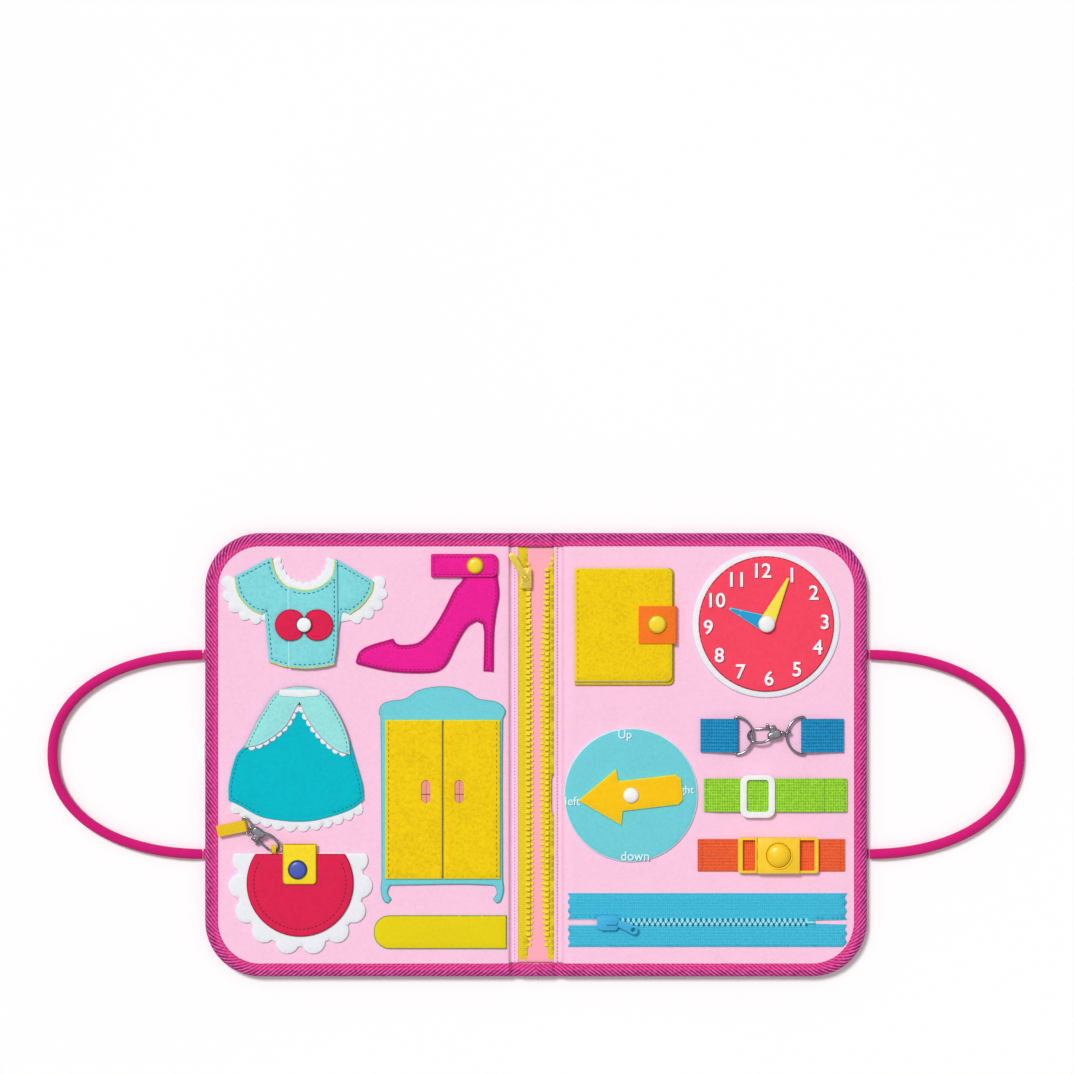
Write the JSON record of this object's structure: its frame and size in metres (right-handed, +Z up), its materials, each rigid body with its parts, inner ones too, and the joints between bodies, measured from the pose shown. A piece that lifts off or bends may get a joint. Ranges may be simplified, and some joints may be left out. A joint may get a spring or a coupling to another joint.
{
  "type": "felt busy board",
  "caption": "Soft felt learning board that folds into a handbag, with dressing-up shapes, wardrobe, purse, clock, dial, book, straps, buckle, clasps and zips.",
  "frame": {"origin": "centre of the open board in plan, on the floor it lies on", "axes": "+X along the open board towards the right cover, +Y towards the top edge, +Z up out of the felt side"},
  "size_m": [0.618, 0.28, 0.0166],
  "materials": {
    "felt_pink": "pink felt",
    "spine_felt": "rose felt",
    "binding": "twill binding tape, magenta",
    "outer_skin": "glossy printed synthetic leather",
    "handle": "rolled felt, hot pink",
    "elastic_white": "flat white elastic",
    "plastic_white": "white moulded plastic",
    "zip_yellow": "yellow zip tape with moulded teeth",
    "zip_metal": "gold-coloured metal",
    "felt_aqua": "aqua felt",
    "felt_teal": "teal felt",
    "felt_mint": "pale mint felt",
    "felt_crimson": "crimson felt",
    "felt_magenta": "magenta felt",
    "felt_yellow": "yellow felt",
    "felt_cyan": "pale cyan felt",
    "felt_white": "white felt",
    "felt_orange": "orange felt",
    "felt_red": "red felt",
    "hand_blue": "thin blue felt",
    "hand_yellow": "thin yellow felt",
    "ribbon_yellow": "satin ribbon, yellow",
    "clasp_metal": "nickel-plated metal",
    "webbing_blue": "ribbed webbing, blue",
    "webbing_green": "ribbed webbing, green",
    "webbing_orange": "ribbed webbing, orange",
    "buckle_yellow": "yellow moulded plastic",
    "zip_blue": "blue zip tape with moulded teeth",
    "slider_blue": "blue coated zip slider"
  },
  "bodies": {
    "spine": {"spine_panel": "spine_felt", "spine_zip_left": "zip_yellow", "spine_zip_right": "zip_yellow"},
    "spine_slider": {"spine_zip_slider": "zip_metal"},
    "spine_pull": {"spine_zip_pull": "zip_metal"},
    "left_cover": {"left_outer_cover": "outer_skin", "left_felt_panel": "felt_pink", "left_binding": "binding", "dress_body": "felt_aqua", "skirt_body": "felt_teal", "overskirt": "felt_mint", "shoe_body": "felt_magenta", "wardrobe_frame": "felt_cyan", "clasp_ribbon": "ribbon_yellow", "purse_clasp": "clasp_metal"},
    "elastic_loop": {"closure_elastic": "elastic_white"},
    "left_grip": {"left_handle": "handle"},
    "dress_flap": {"dress_front": "felt_aqua", "dress_bow": "felt_crimson"},
    "shoe_strap_flap": {"shoe_strap": "felt_magenta"},
    "door_left": {"wardrobe_door_left": "felt_yellow"},
    "door_right": {"wardrobe_door_right": "felt_yellow"},
    "strip": {"felt_strip": "felt_yellow"},
    "purse": {"purse_back": "felt_white", "purse_front": "felt_crimson", "purse_loop": "ribbon_yellow"},
    "purse_tab": {"purse_flap": "felt_yellow"},
    "purse_gate": {"purse_clasp_gate": "clasp_metal"},
    "right_cover": {"right_outer_cover": "outer_skin", "right_felt_panel": "felt_pink", "right_binding": "binding", "closure_button": "plastic_white", "book_back": "felt_yellow", "clock_face": "felt_red", "clock_button": "plastic_white", "dial_face": "felt_cyan", "dial_button": "plastic_white", "blue_strap_left": "webbing_blue", "blue_strap_right": "webbing_blue", "ring_left": "clasp_metal", "ring_right": "clasp_metal", "strap_clasp": "clasp_metal", "green_strap": "webbing_green", "orange_strap_left": "webbing_orange", "orange_strap_right": "webbing_orange", "buckle_female": "buckle_yellow", "blue_zip_tape": "zip_blue"},
    "right_grip": {"right_handle": "handle"},
    "book_cover": {"book_front": "felt_yellow", "book_tab": "felt_orange"},
    "book_leaf": {"book_page": "felt_white"},
    "hour_hand": {"clock_hour_hand": "hand_blue"},
    "minute_hand": {"clock_minute_hand": "hand_yellow"},
    "arrow": {"dial_arrow": "felt_yellow"},
    "strap_gate": {"strap_clasp_gate": "clasp_metal"},
    "strap_slider": {"green_slider": "plastic_white"},
    "buckle_plug": {"buckle_male": "buckle_yellow"},
    "buckle_push": {"buckle_button": "buckle_yellow"},
    "zip_slider": {"blue_zip_slider": "slider_blue"},
    "zip_pull": {"blue_zip_pull": "slider_blue"}
  },
  "joints": [
    {"name": "right_fold", "type": "hinge", "parent": "spine", "child": "right_cover", "pos_m": [0.016, 0, 0.0033], "axis": [0, 1, 0], "range_deg": [-90, 0]},
    {"name": "left_fold", "type": "hinge", "parent": "spine", "child": "left_cover", "pos_m": [-0.016, 0, 0.0033], "axis": [0, -1, 0], "range_deg": [-90, 0]},
    {"name": "spine_zip_slide", "type": "slide", "parent": "spine", "child": "spine_slider", "axis": [0, -1, 0], "range_m": [0, 0.21]},
    {"name": "spine_pull_swing", "type": "hinge", "parent": "spine_slider", "child": "spine_pull", "pos_m": [-0.0069, 0.112, 0.0097], "axis": [0, 0, 1], "range_deg": [-36, 0]},
    {"name": "left_handle_swing", "type": "hinge", "parent": "left_cover", "child": "left_grip", "pos_m": [-0.214, 0, 0.00325], "axis": [0, 1, 0], "range_deg": [-85, 100]},
    {"name": "right_handle_swing", "type": "hinge", "parent": "right_cover", "child": "right_grip", "pos_m": [0.214, 0, 0.00325], "axis": [0, -1, 0], "range_deg": [-85, 100]},
    {"name": "elastic_swing", "type": "hinge", "parent": "left_cover", "child": "elastic_loop", "pos_m": [-0.2102, 0, 0.0016], "axis": [0, 1, 0], "range_deg": [0, 180]},
    {"name": "dress_front_turn", "type": "hinge", "parent": "left_cover", "child": "dress_flap", "pos_m": [-0.1252, 0.09, 0.0115], "axis": [0, 1, 0], "range_deg": [0, 150]},
    {"name": "shoe_strap_turn", "type": "hinge", "parent": "left_cover", "child": "shoe_strap_flap", "pos_m": [-0.0662, 0.1194, 0.0107], "axis": [0, -1, 0], "range_deg": [0, 150]},
    {"name": "left_door_turn", "type": "hinge", "parent": "left_cover", "child": "door_left", "pos_m": [-0.0951, -0.0279, 0.0107], "axis": [0, -1, 0], "range_deg": [0, 110]},
    {"name": "right_door_turn", "type": "hinge", "parent": "left_cover", "child": "door_right", "pos_m": [-0.0227, -0.0279, 0.0107], "axis": [0, 1, 0], "range_deg": [0, 110]},
    {"name": "strip_lift", "type": "hinge", "parent": "left_cover", "child": "strip", "pos_m": [-0.0186, -0.1117, 0.0092], "axis": [0, 1, 0], "range_deg": [0, 100]},
    {"name": "purse_lift", "type": "hinge", "parent": "left_cover", "child": "purse", "pos_m": [-0.16508, -0.06026, 0.01018], "axis": [-1, 0, 0], "range_deg": [0, 38]},
    {"name": "purse_tab_turn", "type": "hinge", "parent": "purse", "child": "purse_tab", "pos_m": [-0.1489, -0.0557, 0.0122], "axis": [-1, 0, 0], "range_deg": [0, 110]},
    {"name": "purse_gate_press", "type": "hinge", "parent": "left_cover", "child": "purse_gate", "pos_m": [-0.17694, -0.05235, 0.01], "axis": [0, 0, 1], "range_deg": [0, 18], "stiffness_Nm_per_rad": 0.0015},
    {"name": "strap_gate_press", "type": "hinge", "parent": "right_cover", "child": "strap_gate", "pos_m": [0.14891, 0.01727, 0.0094], "axis": [0, 0, 1], "range_deg": [0, 18], "stiffness_Nm_per_rad": 0.0015},
    {"name": "green_slider_slide", "type": "slide", "parent": "right_cover", "child": "strap_slider", "axis": [1, 0, 0], "range_m": [-0.018, 0.028]},
    {"name": "buckle_release", "type": "slide", "parent": "right_cover", "child": "buckle_plug", "axis": [-1, 0, 0], "range_m": [0, 0.02]},
    {"name": "buckle_button_press", "type": "slide", "parent": "right_cover", "child": "buckle_push", "axis": [0, 0, -1], "range_m": [0, 0.001], "stiffness_N_per_m": 300},
    {"name": "blue_zip_slide", "type": "slide", "parent": "right_cover", "child": "zip_slider", "axis": [1, 0, 0], "range_m": [0, 0.112]},
    {"name": "blue_pull_flip", "type": "hinge", "parent": "zip_slider", "child": "zip_pull", "pos_m": [0.0516, -0.1055, 0.0136], "axis": [0, -1, 0], "range_deg": [0, 150]},
    {"name": "book_cover_turn", "type": "hinge", "parent": "right_cover", "child": "book_cover", "pos_m": [0.0244, 0.0822, 0.0118], "axis": [0, -1, 0], "range_deg": [0, 150]},
    {"name": "book_page_turn", "type": "hinge", "parent": "right_cover", "child": "book_leaf", "pos_m": [0.0244, 0.0822, 0.0118], "axis": [0, -1, 0], "range_deg": [0, 75]},
    {"name": "hour_hand_turn", "type": "hinge", "parent": "right_cover", "child": "hour_hand", "pos_m": [0.1451, 0.0827, 0.0107], "axis": [0, 0, 1], "continuous": true},
    {"name": "minute_hand_turn", "type": "hinge", "parent": "right_cover", "child": "minute_hand", "pos_m": [0.1451, 0.0827, 0.0118], "axis": [0, 0, 1], "continuous": true},
    {"name": "arrow_turn", "type": "hinge", "parent": "right_cover", "child": "arrow", "pos_m": [0.0598, -0.0252, 0.0095], "axis": [0, 0, 1], "continuous": true}
  ],
  "couplings": [
    {"joint": "spine_pull_swing", "follows": "left_fold", "ratio": 0.4},
    {"joint": "book_page_turn", "follows": "book_cover_turn", "ratio": 0.5}
  ]
}
